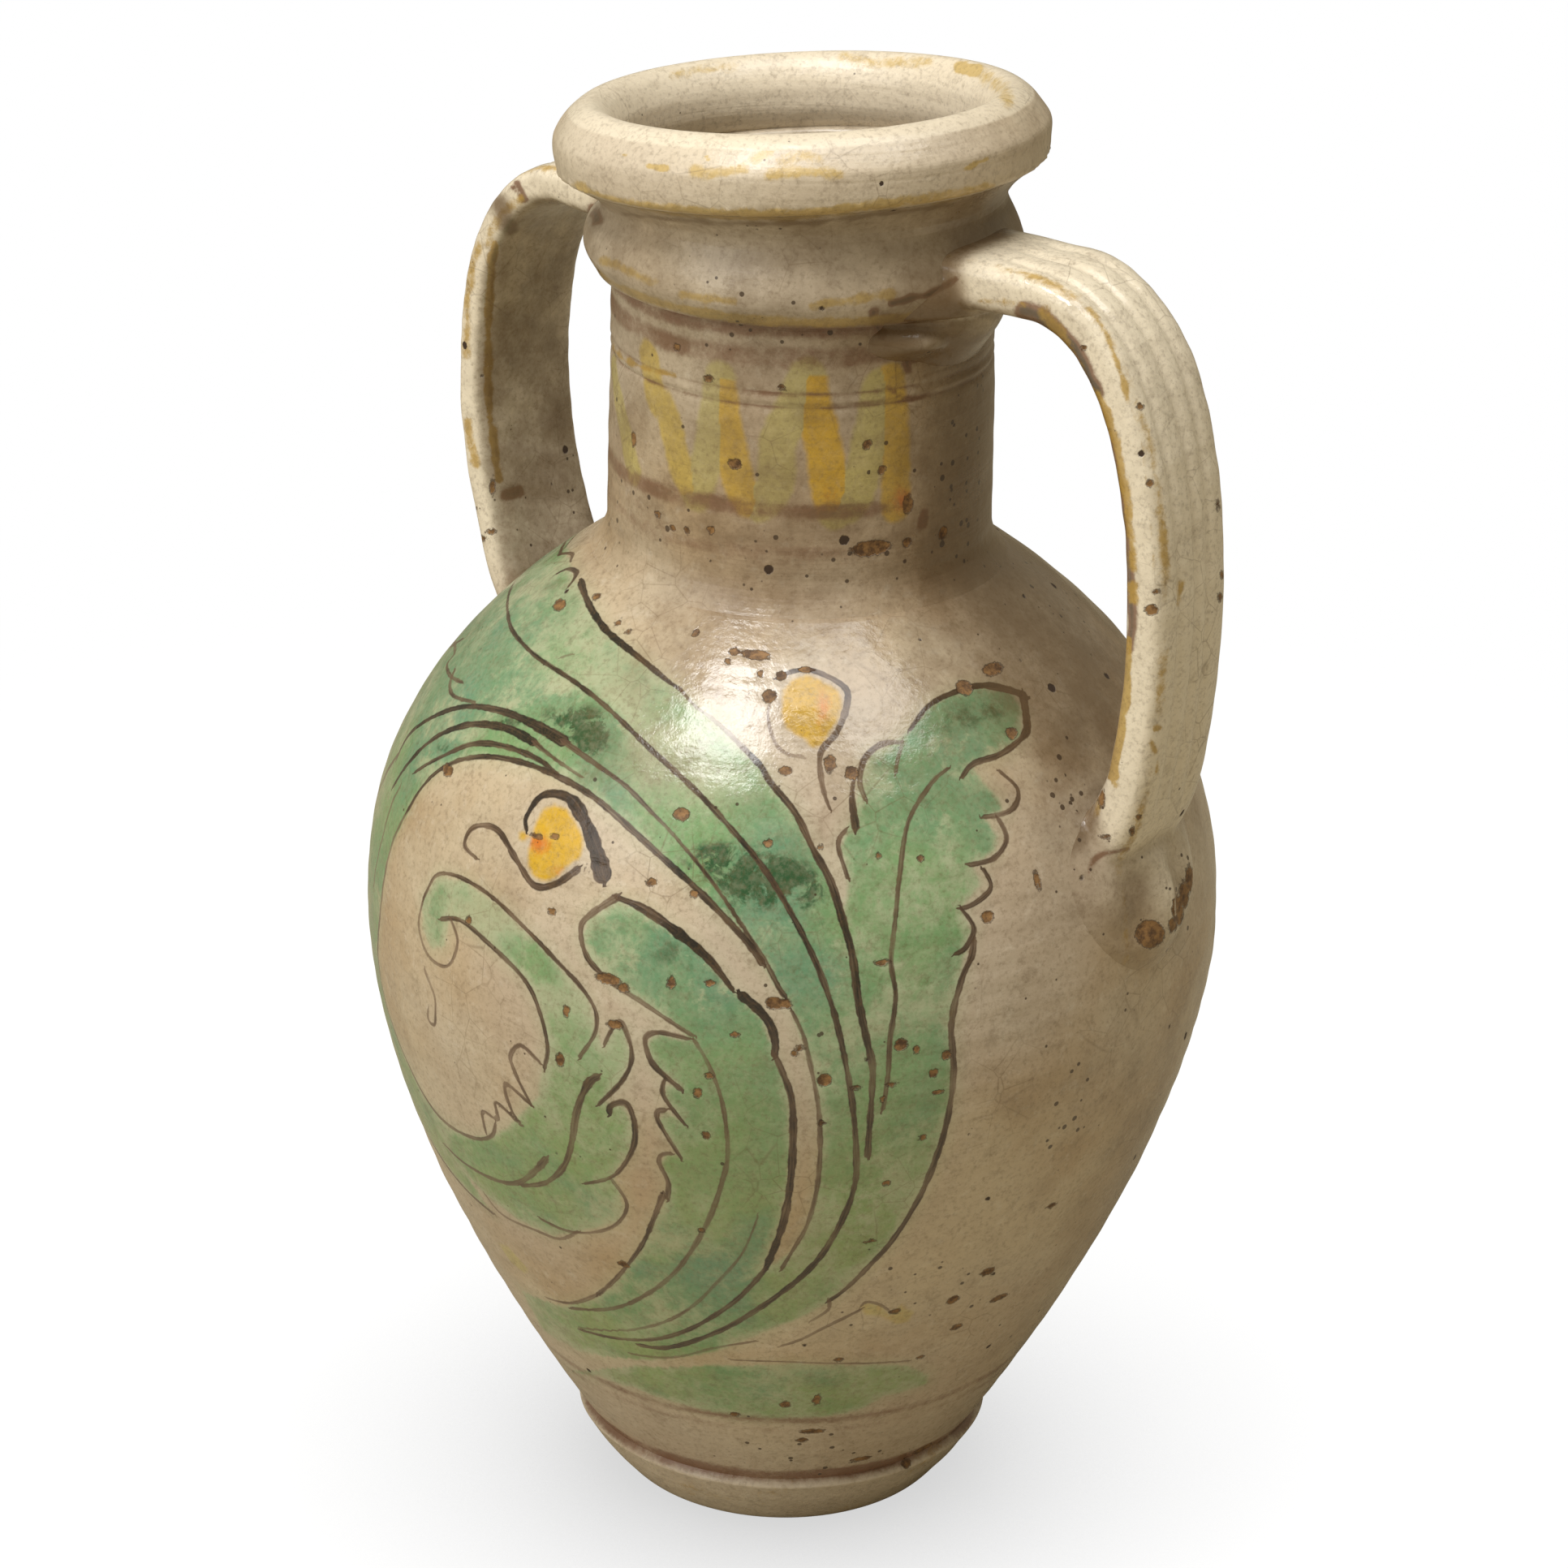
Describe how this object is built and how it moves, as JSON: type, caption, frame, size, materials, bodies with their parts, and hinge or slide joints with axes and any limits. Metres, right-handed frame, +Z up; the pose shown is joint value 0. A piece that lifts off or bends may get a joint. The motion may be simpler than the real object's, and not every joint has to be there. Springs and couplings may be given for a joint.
{
  "type": "two-handled maiolica jug",
  "caption": "Tin-glazed earthenware water jug with an ovoid belly, straight neck, ledged collar, rolled rim and ribbed strap handles.",
  "frame": {"origin": "middle of the flat base that the jug stands on", "axes": "+Z up through the mouth; the two handles lie near the X axis, handle_right on +X, both 5.5 degrees towards +Y; the painted front faces -Y"},
  "size_m": [0.252, 0.2406, 0.4162],
  "materials": {
    "foot_glaze": "semi-gloss tin glaze, brown in the groove",
    "body_glaze": "semi-gloss tin glaze with green, brown and yellow brushwork",
    "neck_glaze": "semi-gloss tin glaze with brown bands and yellow brushwork",
    "rim_glaze": "semi-gloss tin glaze, worn to the clay on edges",
    "handle_glaze": "semi-gloss tin glaze with ochre runs"
  },
  "bodies": {
    "root": {"foot": "foot_glaze", "lower_body": "body_glaze", "upper_body": "body_glaze", "neck": "neck_glaze", "collar": "rim_glaze", "rim": "rim_glaze", "handle_right": "handle_glaze", "handle_right_upper_root": "handle_glaze", "handle_right_lower_root": "handle_glaze", "handle_left": "handle_glaze", "handle_left_upper_root": "handle_glaze", "handle_left_lower_root": "handle_glaze"}
  },
  "joints": []
}
